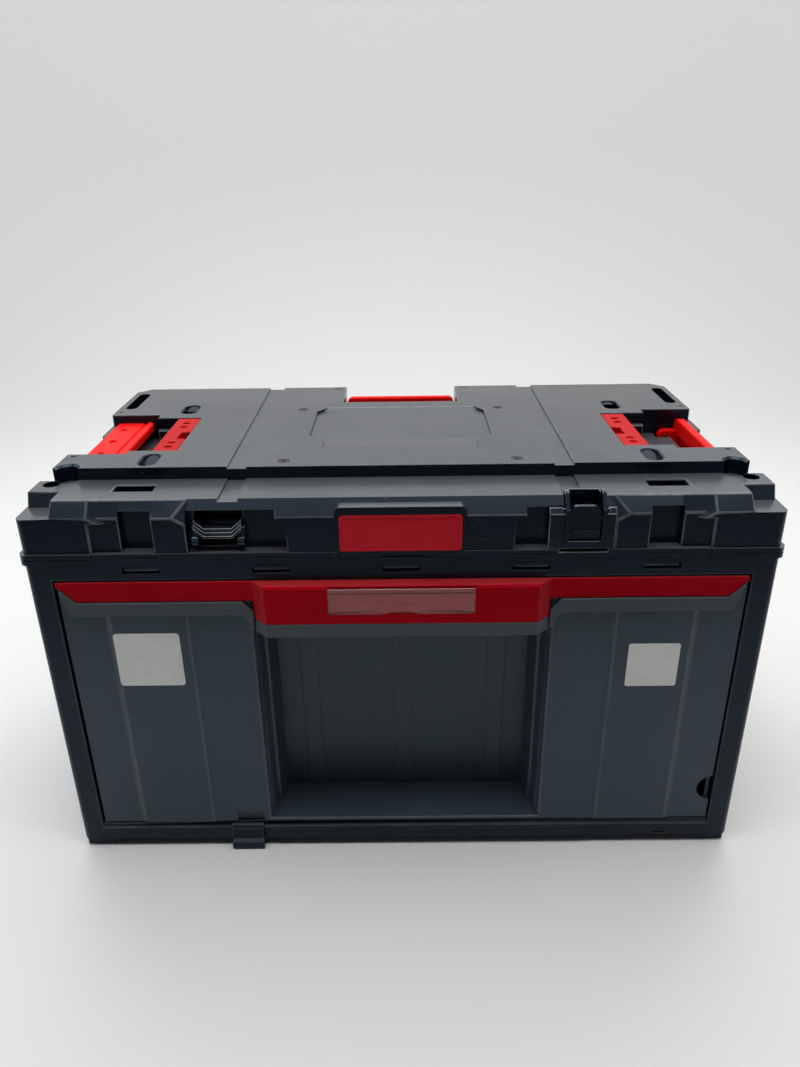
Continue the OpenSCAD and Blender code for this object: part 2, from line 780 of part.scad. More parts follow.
module pin_pair() {
    for (s = [-1, 1]) translate([s * (bay_l / 2 - arm_w / 2 + pin_l / 2 - 5), hinge_in, -hinge_drop])
        rotate([0, 90, 0]) cylinder(d = pin_d, h = pin_l - 3, center = true);
}

module handle_pins() {
    color([0.6, 0.6, 0.62]) {
        at_left() pin_pair();
        at_right() pin_pair();
        at_rear() pin_pair();
    }
}

// ---- locking sliders ----

module slider() {
    half = slider_l / 2;
    mid = bay_mid - 1.5;
    x1 = slider_in + slider_w;
    base = case_h - slider_floor + 0.4;
    difference() {
        union() {
            block([slider_in, x1], [mid - half, mid + half], [base, base + slider_t - 0.4]);
            block([slider_in, x1], [mid - half - tongue + 0.2, mid + half + tongue - 0.2],
                [base, base + 3]);
        }
        // finger notch in the inner edge, with a round hole under it
        block([slider_in - 1, slider_in + 8], [mid - 14, mid + 4], [base + slider_t - 4.5, base + 20]);
        translate([slider_in, yd(mid - 2), base + 2]) cylinder(r = 7.5, h = 20);
        // dimples
        for (d = [-38, -27, 19, 30]) block([slider_in + 7, slider_in + 13], [mid + d, mid + d + 5],
            [base + slider_t - 1.6, base + 20]);
    }
}

module right_slider() { color([0.85, 0.06, 0.05]) slider(); }
module left_slider() { color([0.85, 0.06, 0.05]) on_left() slider(); }

// ---- front latch ----

module latch_housing() {
    out = recess_out - fit_gap;
    inn = latch_x - 27;
    top = ceiling_z - fit_gap;
    rim = 3.2;
    color([0.09, 0.10, 0.11]) difference() {
        union() {
            // cover plate in the wide recess
            along_x(inn, out) polygon([
                [block_front, lip_z + 0.2], [block_front, block_z], [block_front + 3.4, top],
                [block_front + recess_d - 0.2, top], [block_front + recess_d - 0.2, lip_z + 0.2]]);
            // body in the well
            block([latch_x - well_half + fit_gap, latch_x + well_half - fit_gap],
                [block_front + 1, well_deep - fit_gap], [lip_z + 0.2, top]);
            block([latch_x - latch_half - 3.1, latch_x + latch_half + 3.1],
                [shelf_front - 4, well_deep - fit_gap], [top - 1, shelf_z + 1]);
            // raised frame round the flap
            across(block_front - 2.2, block_front + 2) translate([latch_x - latch_half - rim, latch_low - rim])
                rounded([2 * (latch_half + rim), block_z - latch_low + rim + 4], 3);
            for (s = [-1, 1]) along_x(latch_x + s * (latch_half + rim / 2) - rim / 2,
                latch_x + s * (latch_half + rim / 2) + rim / 2) polygon([
                    [block_front - 2.2, block_z - 4], [block_front - 2.2, block_z + 1],
                    [shelf_front - 4, shelf_z + 3], [shelf_front - 2, shelf_z + 4.4],
                    [shelf_front + 1.5, shelf_z + 4.4], [shelf_front + 3, shelf_z + 3],
                    [shelf_front + 3, block_z - 4]]);
        }
        block([latch_x - latch_half, latch_x + latch_half], [-6, latch_deep], [latch_low, case_h]);
        translate([latch_x - well_half + 1, yd(pivot_d), pivot_z]) rotate([0, 90, 0])
            cylinder(d = latch_pin_d + 2 * pin_gap, h = 2 * well_half - 2);
    }
}

module latch_flap() {
    half = latch_half - 0.8;
    z0 = latch_low + 1;
    h = case_h - 15.5 - z0;
    color([0.09, 0.10, 0.11]) difference() {
        union() {
            across(3, 6.6) translate([latch_x - half, z0]) {
                rounded([2 * half, h], 5.5);
                square([2 * half, 8]);
            }
            // finger lip near the lower edge
            across(1, 3.5) translate([latch_x - half + 1, z0 + 4.6]) rounded([2 * half - 2, 2.2], 1);
            // hinge barrel
            translate([latch_x - half, yd(pivot_d), pivot_z]) rotate([0, 90, 0]) cylinder(r = 3.4, h = 2 * half);
            // hook at the top that grips the case above
            along_x(latch_x - 7, latch_x + 7) polygon([
                [5, z0 + h - 8], [9, z0 + h - 6], [9, z0 + h - 2], [5, z0 + h - 1]]);
        }
        translate([latch_x - half - 1, yd(pivot_d), pivot_z]) rotate([0, 90, 0])
            cylinder(d = latch_pin_d + 2 * pin_gap, h = 2 * half + 2);
        // round mark in the flap's middle
        translate([latch_x, yd(3.9), z0 + 12.5]) rotate([90, 0, 0]) cylinder(r = 2.2, h = 3);
    }
}

module latch_pin() {
    color([0.6, 0.6, 0.62]) translate([latch_x - well_half + 1.2, yd(pivot_d), pivot_z])
        rotate([0, 90, 0]) cylinder(d = latch_pin_d, h = 2 * well_half - 2.4);
}

// Bare bridge in the left latch place: a bent bar with three ridges between two eyes
module left_catch() {
    z0 = case_h - 39;
    eye_x = 20.5;
    color([0.08, 0.09, 0.10]) translate([-latch_x, 0, 0]) {
        for (i = [0:2]) across(block_front + 1 + i * 1.2, block_front + recess_d + 4)
            translate([0, z0 + i * 2.6]) polygon([[-11, 0], [11, 0], [18, 6.5], [18, 9], [10.4, 2.2], [-10.4, 2.2], [-18, 9], [-18, 6.5]]);
        for (s = [-1, 1]) {
            translate([s * (eye_x - 3) - 2.5, yd(block_front + 5), z0 - 3]) rotate([0, 90, 0]) difference() {
                cylinder(r = 4.6, h = 5);
                translate([0, 0, -1]) cylinder(r = 1.6, h = 7);
            }
            block([s * (eye_x - 3) - 2.5, s * (eye_x - 3) + 2.5], [block_front + 5, block_front + recess_d - 0.1],
                [z0 - 6, z0 + 8]);
        }
    }
}

// ---- runners ----

// Runs of one runner, laid out from the bracket's face towards the drawer
module strip(s, z, d0, l) {
    block([runner_face - s[1], runner_face - s[0]], [d0, d0 + l], [runner_z + z[0], runner_z + z[1]]);
}

module channel(web, lip, lips) {
    for (m = [0, 1]) translate([0, 0, 2 * m * runner_z]) mirror([0, 0, m])
        strip(lips, [lip - steel, lip], runner_front, runner_l);
    strip(web, [-lip, lip], runner_front, runner_l);
}

module outer_rail() { channel([0, steel], runner_h / 2, [0, runner_t - 1]); }

module middle_rail() {
    web = steel + 2 * rail_gap + cage_t;
    channel([web, web + steel], middle_lip, [web, runner_t - 1.2]);
}

module inner_rail() {
    web = 2 * steel + 4 * rail_gap + 2 * cage_t;
    channel([runner_t - steel, runner_t], inner_lip, [web, runner_t]);
}

// Bearing balls in their thin sheet cage
module ball_cage(web, z) {
    s_ball = 7.6;
    count = floor(cage_l / ball_pitch);
    difference() {
        union() {
            strip([web, web + cage_t], [-z - 0.4, z + 0.4], cage_front, cage_l);
            for (m = [-1, 1]) strip([web, s_ball + 2.4], [m * z - 0.4, m * z + 0.4], cage_front, cage_l);
        }
        for (i = [0:count - 1], m = [-1, 1])
            translate([runner_face - s_ball, yd(cage_front + 8 + i * ball_pitch), runner_z + m * z - 1])
                cylinder(d = ball_d + 0.2, h = 2, $fn = 24);
    }
    for (i = [0:count - 1], m = [-1, 1])
        translate([runner_face - s_ball, yd(cage_front + 8 + i * ball_pitch), runner_z + m * z])
            sphere(d = ball_d, $fn = 24);
}

module outer_cage() { ball_cage(steel + rail_gap, outer_lip - race_gap / 2); }
module inner_cage() { ball_cage(2 * steel + 3 * rail_gap + cage_t, inner_race - race_gap / 2); }

// Moulded spacer that carries the fixed rail on the cabinet's side
module runner_bracket() {
    x1 = body_half - wall;
    z = [runner_z - runner_h / 2 - 4, runner_z + runner_h / 2 + 4];
    d = [runner_front, runner_front + runner_l];
    difference() {
        block([runner_face + 0.05, x1 - 0.05], d, z);
        for (i = [0:3]) {
            cell = runner_l / 4;
            block([runner_face + 4, x1 + 1], [d[0] + i * cell + 3, d[0] + (i + 1) * cell - 3],
                [z[0] + 3, z[1] - 3]);
        }
    }
}

module left_runner_bracket() { color([0.16, 0.17, 0.18]) on_left() runner_bracket(); }
module right_runner_bracket() { color([0.16, 0.17, 0.18]) runner_bracket(); }
module left_outer_rail() { color([0.62, 0.63, 0.65]) on_left() outer_rail(); }
module right_outer_rail() { color([0.62, 0.63, 0.65]) outer_rail(); }
module left_middle_rail() { color([0.66, 0.67, 0.69]) on_left() middle_rail(); }
module right_middle_rail() { color([0.66, 0.67, 0.69]) middle_rail(); }
module left_inner_rail() { color([0.7, 0.71, 0.73]) on_left() inner_rail(); }
module right_inner_rail() { color([0.7, 0.71, 0.73]) inner_rail(); }
module left_outer_ball_cage() { color([0.75, 0.72, 0.6]) on_left() outer_cage(); }
module right_outer_ball_cage() { color([0.75, 0.72, 0.6]) outer_cage(); }
module left_inner_ball_cage() { color([0.75, 0.72, 0.6]) on_left() inner_cage(); }
module right_inner_ball_cage() { color([0.75, 0.72, 0.6]) inner_cage(); }

// ---- drawer ----

// Plan of the pull bay, narrowing towards its back wall
module pull_plan() {
    h = pull_w / 2;
    translate([0, front_y]) polygon([
        [-h, -5], [h, -5], [h, front_face], [h - 3, front_face + 5], [h - 5, 24], [h - 7.5, 25],
        [h - 11, pull_d], [-h + 11, pull_d], [-h + 7.5, 25], [-h + 5, 24], [-h + 3, front_face + 5],
        [-h, front_face]]);
}

module drawer_front() {
    t = 3;
    h = pull_w / 2;
    color([0.20, 0.22, 0.24]) difference() {
        union() {
            difference() {
                block([-front_half, front_half], [front_face, front_back], [front_low, front_top]);
                // hollow backs of the two side panels
                both() block([h + t, front_half - t], [front_face + t, front_back + 1],
                    [front_low + t, front_top - t]);
                // pull bay
                translate([0, 0, front_low + t]) linear_extrude(bay_top - front_low - t) pull_plan();
            }
            // raised bands of the side panels
            both() translate([0, front_y, front_low]) linear_extrude(wing_low - trim_h - front_low - 0.5)
                polygon([[band_in, front_face + 1], [band_in, front_face], [band_in + 4, band_face],
                    [band_out - 4, band_face], [band_out, front_face], [band_out, front_face + 1]]);
            // three tapering strips on the bay's back wall
            for (x = [-81.8, 0, 81.8]) across(pull_d - 1.5, pull_d + 1) polygon([
                [x - 6.6, front_low + t], [x + 6.6, front_low + t], [x + 8.6, bay_top], [x - 8.6, bay_top]]);
        }
        // thumb notch at the right edge
        across(-1, front_face + 4) translate([front_half + 1, front_low + 33]) circle(13);
        // relief over the stacking hook
        block([hook_x[0] + 6, hook_x[1] + 1], [-1, front_face + 2.5], [front_low - 1, front_low + 10]);
        // seats of the tray screws
        for (x = [-70, 70], z = tray_screws) translate([x, yd(front_back + 1), z]) rotate([90, 0, 0])
            cylinder(d = 3.4, h = 5);
    }
}

module drawer_tray() {
    d = [tray_front + 0.1, tray_back];
    z = [tray_low, tray_low + tray_h];
    t = tray_t;
    color([0.17, 0.18, 0.19]) difference() {
        plan_plate(tray_half, d, z, 3);
        plan_plate(tray_half - t, [d[0] + t, d[1] - t], [z[0] + t, z[1] + 1], 2);
        for (x = [-70, 70], h = tray_screws) translate([x, yd(d[0] + t + 1), h]) rotate([90, 0, 0])
            cylinder(d = 4.4, h = t + 2);
    }
}

module drawer_screws() {
    color([0.6, 0.6, 0.62]) for (x = [-70, 70], z = tray_screws)
        translate([x, yd(tray_front + tray_t + 0.2), z]) rotate([90, 0, 0]) difference() {
            union() {
                translate([0, 0, -2.2]) cylinder(d = 8, h = 2.2);
                cylinder(d = 3.3, h = 6);
            }
            translate([-2.2, -0.5, -3]) cube([4.4, 1, 1.8]);
            translate([-0.5, -2.2, -3]) cube([1, 4.4, 1.8]);
        }
}

// Plan of the bar's bulged middle; inset by t on its face
module bump_plan(t = 0) {
    translate([0, front_y]) polygon([
        [-grip_half + t, front_face - 0.05], [-grip_half + t, wing_face],
        [-bump_half + t * 0.4, -grip_proud + t], [bump_half - t * 0.4, -grip_proud + t],
        [grip_half - t, wing_face], [grip_half - t, front_face - 0.05]]);
}

module grip_bar() {
    low = grip_low;
    top = front_top;
    color([0.72, 0.02, 0.03]) difference() {
        union() {
            difference() {
                translate([0, 0, low]) linear_extrude(top - low) bump_plan();
                // finger hollow behind the bar's face
                translate([0, 0, low - 1]) linear_extrude(top - low - grip_t + 1) intersection() {
                    bump_plan(grip_t);
                    translate([0, front_y]) square([2 * bump_half, 200], center = true);
                }
            }
            both() across(wing_face, front_face - 0.05) polygon([
                [grip_half - 1, wing_low], [bar_end - 14.5, wing_low], [bar_end - 2, wing_low + 12.5],
                [bar_end, wing_low + 12.5], [bar_end, top], [grip_half - 1, top]]);
        }
        // seat of the label window
        across(-grip_proud - 1, -grip_proud + 1.4) translate([-window_half, window_low])
            square([2 * window_half, top - window_low - 1.2]);
        // sloped upper front edge
        translate([-bump_half - 12, yd(-grip_proud), top - 2.4]) rotate([45, 0, 0]) translate([0, 0, 0])
            cube([2 * bump_half + 24, 6, 6]);
    }
}

module grip_trim() {
    low = grip_low - trim_h;
    color([0.24, 0.26, 0.28]) {
        difference() {
            translate([0, 0, low]) linear_extrude(grip_low - low - 0.05) bump_plan();
            translate([0, 0, low - 1]) linear_extrude(trim_h + 2) intersection() {
                bump_plan(grip_t);
                translate([0, front_y]) square([2 * bump_half, 200], center = true);
            }
        }
        edge = grip_half + 0.5;
        tip = bar_end - 14.3;
        both() across(wing_face - 1.4, front_face - 0.05) polygon([
            [edge, low + 2], [edge + 3, low + 2], [edge + 3, wing_low - trim_h - 11],
            [edge + 4.2, wing_low - trim_h - 6], [edge + 7.6, wing_low - trim_h - 1.8],
            [edge + 13, wing_low - trim_h], [tip + 5, wing_low - trim_h], [tip + 12, wing_low + 9.9],
            [tip + 10, wing_low + 9.9], [tip, wing_low - 0.1], [edge + 8, wing_low - 0.1],
            [edge, wing_low - 9]]);
    }
}

module label_window() {
    h = front_top - window_low - 1.2 - 0.4;
    color([0.9, 0.92, 0.95, 0.4]) across(-grip_proud - 0.2, -grip_proud + 0.9)
        translate([-window_half + 0.2, window_low + 0.2]) square([2 * window_half - 0.4, h - 1.6]);
}

module label_card() {
    h = front_top - window_low - 1.2 - 0.4;
    color([0.75, 0.2, 0.2]) across(-grip_proud + 0.95, -grip_proud + 1.35)
        translate([-window_half + 1, window_low + 1]) square([2 * window_half - 2, h - 3]);
}

module left_label() {
    color([0.82, 0.83, 0.84]) across(band_face - 0.3, band_face)
        translate([-band_out + 4, wing_low - trim_h - 17.5 - label[1]]) rounded(label, 3);
}

module right_label() {
    color([0.82, 0.83, 0.84]) across(band_face - 0.3, band_face)
        translate([band_in + 16, wing_low - trim_h - 31.5 - small_label[1]]) rounded(small_label, 2);
}

cabinet();
lid();
lid_floor();
deck_screws();
badge_plate();
left_handle();
right_handle();
rear_handle();
handle_pins();
left_slider();
right_slider();
latch_housing();
latch_flap();
latch_pin();
left_catch();
stack_hook();
left_runner_bracket();
right_runner_bracket();
left_outer_rail();
right_outer_rail();
left_middle_rail();
right_middle_rail();
left_inner_rail();
right_inner_rail();
left_outer_ball_cage();
right_outer_ball_cage();
left_inner_ball_cage();
right_inner_ball_cage();
drawer_front();
drawer_tray();
drawer_screws();
grip_bar();
grip_trim();
label_window();
label_card();
left_label();
right_label();
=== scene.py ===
"""Finishes, rounded edges and a studio for a stacking tool box with one drawer.

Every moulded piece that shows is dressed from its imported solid: the copy is merged, its flat faces
are joined and its outer edges are rounded. Sizes are in metres, in the frame of the solids.
"""

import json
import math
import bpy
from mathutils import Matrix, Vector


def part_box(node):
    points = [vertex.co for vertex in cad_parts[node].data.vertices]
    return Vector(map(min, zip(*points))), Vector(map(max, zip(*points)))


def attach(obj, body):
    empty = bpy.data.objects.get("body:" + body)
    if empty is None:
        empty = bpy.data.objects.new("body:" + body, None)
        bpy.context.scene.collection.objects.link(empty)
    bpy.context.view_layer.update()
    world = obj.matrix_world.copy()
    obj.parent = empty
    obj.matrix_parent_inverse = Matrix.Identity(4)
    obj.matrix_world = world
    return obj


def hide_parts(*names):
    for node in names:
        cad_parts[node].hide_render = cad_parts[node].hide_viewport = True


bl_info = {
    "name": "Stacking tool box",
    "version": (1, 0, 0),
    "blender": (4, 5, 0),
    "location": "3D View > Sidebar > Tool Box",
    "description": "Moulded finishes, rounded edges and a studio for a stacking tool box",
    "category": "Object",
}

import bmesh
import bpy
from bpy.props import FloatProperty, FloatVectorProperty, PointerProperty
from mathutils import Matrix, Vector

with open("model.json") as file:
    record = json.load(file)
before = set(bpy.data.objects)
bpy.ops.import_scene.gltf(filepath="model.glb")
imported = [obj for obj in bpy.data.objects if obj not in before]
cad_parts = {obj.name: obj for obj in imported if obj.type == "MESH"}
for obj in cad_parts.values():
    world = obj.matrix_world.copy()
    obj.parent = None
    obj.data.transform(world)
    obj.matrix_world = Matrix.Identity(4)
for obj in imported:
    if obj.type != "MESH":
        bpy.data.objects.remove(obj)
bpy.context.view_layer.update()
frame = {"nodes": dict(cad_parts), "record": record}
BODIES = frame["record"]["behaviour"]["bodies"]
BODY_OF = {node: body for body, nodes in BODIES.items() for node in nodes}
SLOT_OF = {entry["node"]: entry["material_slot"] for entry in frame["record"]["subparts"]}
MM = 0.001
ROUNDING = "rounding"


# ---- settings that a user would change ----

def colour(name, default, description):
    return FloatVectorProperty(
        name=name, description=description, default=default, size=3, subtype="COLOR", min=0, max=1
    )


def length(name, default, description):
    return FloatProperty(
        name=name, description=description, default=default, min=0, unit="LENGTH", precision=5
    )


def watts(name, default, description):
    return FloatProperty(name=name, description=description + ", in watts", default=default, min=0)


class ToolBoxColours(bpy.types.PropertyGroup):
    """Colours of the tool box's finishes."""

    case_black: colour("Housing black", (0.0022, 0.0046, 0.0095), "Moulded plastic of the case and the lid")
    drawer_grey: colour("Drawer grey", (0.0240, 0.0370, 0.0500), "Moulded plastic of the drawer front")
    trim_grey: colour("Trim grey", (0.0240, 0.0340, 0.0440), "Lip under the grip bar")
    grip_red: colour("Grip red", (0.3300, 0.0003, 0.0050), "Grip bar of the drawer")
    badge_red: colour("Badge red", (0.5600, 0.0180, 0.0280), "Badge plate")
    handle_red: colour("Handle red", (0.6600, 0.0040, 0.0040), "Carrying handles")
    slider_red: colour("Slider red", (0.4200, 0.0030, 0.0040), "Locking sliders")
    sticker: colour("Sticker", (0.7200, 0.7300, 0.7100), "Blank stickers")
    # Dusty grey of the film on level faces, which also paints a sheen on them.
    dust_and_sheen: colour("Dust and sheen", (0.3300, 0.3350, 0.3400), "Film of dust on level faces")


class ToolBoxEdges(bpy.types.PropertyGroup):
    """Edge roundings of the moulded pieces."""

    case_edge: length("Housing edge", 1.1 * MM, "Rounding of the case's edges")
    lid_edge: length("Lid edge", 1.2 * MM, "Rounding of the lid's edges")
    drawer_edge: length("Drawer edge", 1.1 * MM, "Rounding of the drawer front's edges")
    grip_edge: length("Grip edge", 1.1 * MM, "Rounding of the grip bar's edges")
    handle_edge: length("Handle edge", 0.9 * MM, "Rounding of the handles' edges")
    trim_edge: length("Trim edge", 0.5 * MM, "Rounding of small trim")


class ToolBoxStudio(bpy.types.PropertyGroup):
    """Camera, floor and lamps."""

    camera_place: FloatVectorProperty(
        name="Camera place", description="Where the camera stands", size=3, subtype="TRANSLATION",
        unit="LENGTH", precision=5, default=(0.00332, -0.71292, 0.56730),
    )
    camera_tilt: FloatProperty(
        name="Camera tilt", description="How far the camera looks down", default=0.428613, subtype="ANGLE"
    )
    camera_turn: FloatProperty(
        name="Camera turn", description="How far the camera turns to the right", default=-0.006828,
        subtype="ANGLE",
    )
    camera_roll: FloatProperty(
        name="Camera roll", description="Roll about the line of sight", default=-0.013617, subtype="ANGLE"
    )
    lens: FloatProperty(
        name="Lens", description="Focal length in millimetres", default=27.814, min=10, max=200
    )
    floor_colour: colour("Floor", (0.78, 0.78, 0.775), "Colour of the floor and the backdrop")
    top_power: watts("Top lamp", 25, "Power of the lamp overhead")
    back_power: watts("Back lamp", 20, "Power of the soft box behind")
    front_power: watts("Front lamp", 14, "Power of the lamp above the front")
    side_power: watts("Side lamp", 6, "Power of the lamp at the left")
    fill_power: watts("Fill lamp", 4, "Power of the lamp at the right")
    room_light: FloatProperty(
        name="Room light", description="Strength of the room's light on the object", default=0.05, min=0
    )
    backdrop_light: FloatProperty(
        name="Backdrop", description="How pale the far floor and the room look", default=0.66, min=0, max=1
    )


# ---- shader node groups ----

def new_group(name, inputs, outputs):
    """A shader group with the named sockets, and its input and output nodes."""
    group = bpy.data.node_groups.new(name, "ShaderNodeTree")
    for label, kind, value in inputs:
        socket = group.interface.new_socket(name=label, in_out="INPUT", socket_type=kind)
        socket.default_value = value
    for label, kind in outputs:
        group.interface.new_socket(name=label, in_out="OUTPUT", socket_type=kind)
    return group, group.nodes.new("NodeGroupInput"), group.nodes.new("NodeGroupOutput")


def add(tree, kind, links=(), **settings):
    """A node with its settings; links are (own input, output socket or plain value)."""
    node = tree.nodes.new(kind)
    for key, value in settings.items():
        setattr(node, key, value)
    for key, value in links:
        if isinstance(value, bpy.types.NodeSocket):
            tree.links.new(value, node.inputs[key])
        else:
            node.inputs[key].default_value = value
    return node


def math_node(tree, operation, first, second, clamp=False):
    node = add(tree, "ShaderNodeMath", ((0, first), (1, second)), operation=operation, use_clamp=clamp)
    return node.outputs[0]


def product(tree, *values, clamp=False):
    """The values multiplied together, the last product clamped if asked for."""
    made = values[0]
    for i, value in enumerate(values[1:], start=2):
        made = math_node(tree, "MULTIPLY", made, value, clamp=clamp and i == len(values))
    return made


def noise(tree, place, scale, detail=3.0, roughness=0.55, distortion=0.0):
    return add(tree, "ShaderNodeTexNoise", (("Vector", place), ("Scale", scale), ("Detail", detail),
                                            ("Roughness", roughness), ("Distortion", distortion)))


def ramp(tree, value, low, high, out_low=0.0, out_high=1.0):
    """The value moved from one range to another, and clamped."""
    node = add(tree, "ShaderNodeMapRange", (("Value", value), ("From Min", low), ("From Max", high),
                                            ("To Min", out_low), ("To Max", out_high)), clamp=True)
    return node.outputs["Result"]


def grain_group():
    """Fine moulding texture, as a height in metres."""
    group, given, out = new_group(
        "Moulding grain",
        [("Size", "NodeSocketFloat", 0.0009), ("Depth", "NodeSocketFloat", 0.00002)],
        [("Height", "NodeSocketFloat")],
    )
    place = add(group, "ShaderNodeTexCoord").outputs["Object"]
    scale = math_node(group, "DIVIDE", 1.0, given.outputs["Size"])
    cells = add(group, "ShaderNodeTexVoronoi", (("Vector", place), ("Scale", scale)), feature="SMOOTH_F1")
    fine = noise(group, place, product(group, scale, 1.7), 2.0)
    mixed = math_node(group, "ADD", cells.outputs["Distance"], fine.outputs[0])
    height = product(group, mixed, given.outputs["Depth"])
    group.links.new(height, out.inputs["Height"])
    return group


def handling_group():
    """Smudges and fine scratches: a roughness and a mask of pale scuffs."""
    group, given, out = new_group(
        "Handling marks",
        [("Roughness", "NodeSocketFloat", 0.4), ("Smudge", "NodeSocketFloat", 0.08),
         ("Scratches", "NodeSocketFloat", 0.3)],
        [("Roughness", "NodeSocketFloat"), ("Scuff", "NodeSocketFloat")],
    )
    place = add(group, "ShaderNodeTexCoord").outputs["Object"]
    broad = noise(group, place, 9.0, 4.0, 0.6, 0.4)
    smudge = product(group, math_node(group, "SUBTRACT", broad.outputs[0], 0.5), given.outputs["Smudge"])
    lines = None
    along = 40.0
    for turn, stretch in ((0.5, 7.0), (-0.9, 9.0), (1.35, 6.0)):
        across = along * stretch
        turned = add(group, "ShaderNodeMapping", (
            ("Vector", place), ("Rotation", (turn, turn * 0.7, turn)), ("Scale", (along, across, across))
        ))
        streak = noise(group, turned.outputs[0], 3.0, 1.0, 0.4)
        line = ramp(group, streak.outputs[0], 0.735, 0.765)
        lines = line if lines is None else math_node(group, "MAXIMUM", lines, line)
    patches = ramp(group, noise(group, place, 14.0, 2.0).outputs[0], 0.5, 0.62)
    scuff = product(group, lines, patches, given.outputs["Scratches"])
    rough = math_node(group, "ADD", given.outputs["Roughness"], smudge)
    rough = math_node(group, "ADD", rough, product(group, scuff, 0.15), clamp=True)
    group.links.new(rough, out.inputs["Roughness"])
    group.links.new(scuff, out.inputs["Scuff"])
    return group


def dust_and_sheen_group():
    """Mask of the film on faces that look up: partly a dusty film, partly a painted sheen that lightens level
    faces.
    """
    group, given, out = new_group(
        "Settled dust", [("Amount", "NodeSocketFloat", 0.1)], [("Mask", "NodeSocketFloat")]
    )
    place = add(group, "ShaderNodeTexCoord").outputs["Object"]
    normal = add(group, "ShaderNodeNewGeometry").outputs["Normal"]
    facing = add(group, "ShaderNodeSeparateXYZ", ((0, normal),))
    level = ramp(group, facing.outputs["Z"], 0.8, 0.98)
    specks = ramp(group, noise(group, place, 900.0, 2.0).outputs[0], 0.6, 0.8, 0.0, 0.35)
    cloud = ramp(group, noise(group, place, 11.0, 5.0, 0.65).outputs[0], 0.3, 0.8, 0.5, 0.75)
    both = math_node(group, "ADD", specks, cloud)
    mask = product(group, both, level, given.outputs["Amount"], clamp=True)
    group.links.new(mask, out.inputs["Mask"])
    return group


def edge_wear_and_highlight_group():
    """Mask of the rounded outer edges, painted pale: partly worn plastic, partly a painted highlight along
    the roundings.
    """
    group, given, out = new_group(
        "Rubbed edges and painted highlight", [("Amount", "NodeSocketFloat", 0.4)], [("Mask", "NodeSocketFloat")]
    )
    place = add(group, "ShaderNodeTexCoord").outputs["Object"]
    rounding = add(group, "ShaderNodeAttribute", attribute_name=ROUNDING, attribute_type="GEOMETRY")
    broken = ramp(group, noise(group, place, 45.0, 4.0, 0.7).outputs[0], 0.35, 0.65, 0.4, 1.0)
    mask = product(group, rounding.outputs["Fac"], broken, given.outputs["Amount"], clamp=True)
    group.links.new(mask, out.inputs["Mask"])
    return group


# ---- materials ----

PLASTIC_IOR, WINDOW_IOR = 1.5, 1.45
COAT_ROUGHNESS = 0.06
CLOUD_LIFT = 1.36


def principled(name):
    """A material with only a Principled shader, its node tree and the shader."""
    material = bpy.data.materials.new(name)
    material.use_nodes = True
    tree = material.node_tree
    tree.nodes.clear()
    shader = tree.nodes.new("ShaderNodeBsdfPrincipled")
    output = tree.nodes.new("ShaderNodeOutputMaterial")
    tree.links.new(shader.outputs[0], output.inputs[0])
    return material, tree, shader


def place_group(tree, name, **values):
    """One of the shader groups above, with its inputs set."""
    node = add(tree, "ShaderNodeGroup", node_tree=bpy.data.node_groups[name])
    for key, value in values.items():
        node.inputs[key].default_value = value
    return node


def blend_colour(tree, first, second, mask):
    """The first colour where the mask is 0 and the second where it is 1."""
    node = add(tree, "ShaderNodeMix", data_type="RGBA")
    for socket, value in ((node.inputs[6], first), (node.inputs[7], second), (node.inputs[0], mask)):
        if isinstance(value, bpy.types.NodeSocket):
            tree.links.new(value, socket)
        else:
            socket.default_value = value
    return node.outputs[2]


def moulded(name, base, roughness, grain=(0.0009, 0.00002), bump=0.35, dust_and_sheen=0.1, scratches=0.3, edge_wear_and_highlight=0.35,
            coat=0.0, sheen=0.5, scuff_and_highlight_lift=0.09, glint=(1.0, 1.0, 1.0)):
    """Moulded plastic with grain, smudges, scuffs, a dusty film that also paints sheen on level faces, and
    worn edges with a painted highlight.
    """
    material, tree, shader = principled(name)
    colours = bpy.context.scene.tool_box_colours
    base = (*base, 1.0)
    place = add(tree, "ShaderNodeTexCoord").outputs["Object"]
    cloud = noise(tree, place, 6.0, 5.0, 0.6)
    lighter = tuple(min(1.0, CLOUD_LIFT * c) for c in base[:3]) + (1.0,)
    tone = blend_colour(tree, base, lighter, ramp(tree, cloud.outputs[0], 0.35, 0.75))
    marks = place_group(tree, "Handling marks", Roughness=roughness, Scratches=scratches)
    # Worn edges and a painted highlight: the rounded faces are painted pale.
    edges = place_group(tree, "Rubbed edges and painted highlight", Amount=edge_wear_and_highlight)
    # Dusty film on level faces, which also paints a sheen on them.
    film = place_group(tree, "Settled dust", Amount=dust_and_sheen)
    # Paler tone for the scuffs and for the painted highlight on the roundings.
    pale = tuple(0.8 * c + scuff_and_highlight_lift for c in base[:3]) + (1.0,)
    tone = blend_colour(tree, tone, pale, marks.outputs["Scuff"])
    tone = blend_colour(tree, tone, pale, edges.outputs["Mask"])
    tone = blend_colour(tree, tone, (*colours.dust_and_sheen, 1.0), film.outputs["Mask"])
    relief = place_group(tree, "Moulding grain", Size=grain[0], Depth=grain[1])
    bumped = add(tree, "ShaderNodeBump", (
        ("Height", relief.outputs["Height"]), ("Strength", bump), ("Distance", 1.0)
    ))
    tree.links.new(tone, shader.inputs["Base Color"])
    tree.links.new(marks.outputs["Roughness"], shader.inputs["Roughness"])
    tree.links.new(bumped.outputs[0], shader.inputs["Normal"])
    shader.inputs["IOR"].default_value = PLASTIC_IOR
    shader.inputs["Specular IOR Level"].default_value = sheen
    shader.inputs["Specular Tint"].default_value = (*glint, 1.0)
    shader.inputs["Coat Weight"].default_value = coat
    shader.inputs["Coat Roughness"].default_value = COAT_ROUGHNESS
    return material


